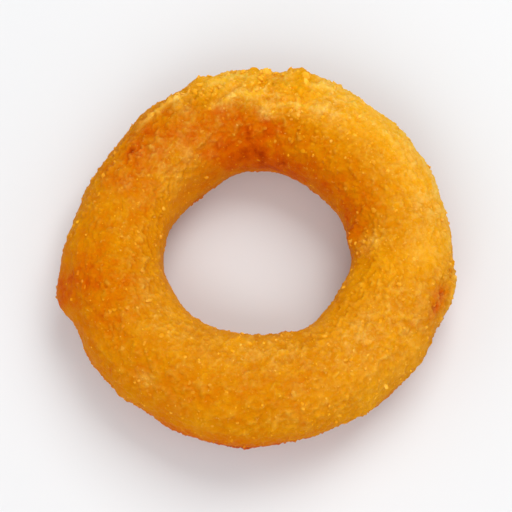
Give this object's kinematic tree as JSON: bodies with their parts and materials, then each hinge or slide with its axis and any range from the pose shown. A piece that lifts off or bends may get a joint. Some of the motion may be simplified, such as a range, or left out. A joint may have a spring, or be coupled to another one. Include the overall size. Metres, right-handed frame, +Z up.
{
  "type": "onion ring",
  "caption": "Battered and fried onion ring with a granular golden crust, lying flat round its open hole.",
  "frame": {"origin": "middle of the ring's bounding box in plan, at the height of the surface it lies on", "axes": "+Z up, out of the side that shows; the ring lies in the XY plane, with +Y towards its rough pale crest"},
  "size_m": [0.0778, 0.0768, 0.0206],
  "materials": {
    "fried_crust": "granular golden-orange fried batter with pale grains, browned spots and a soft oily sheen"
  },
  "bodies": {
    "root": {"onion_ring": "fried_crust"}
  },
  "joints": []
}
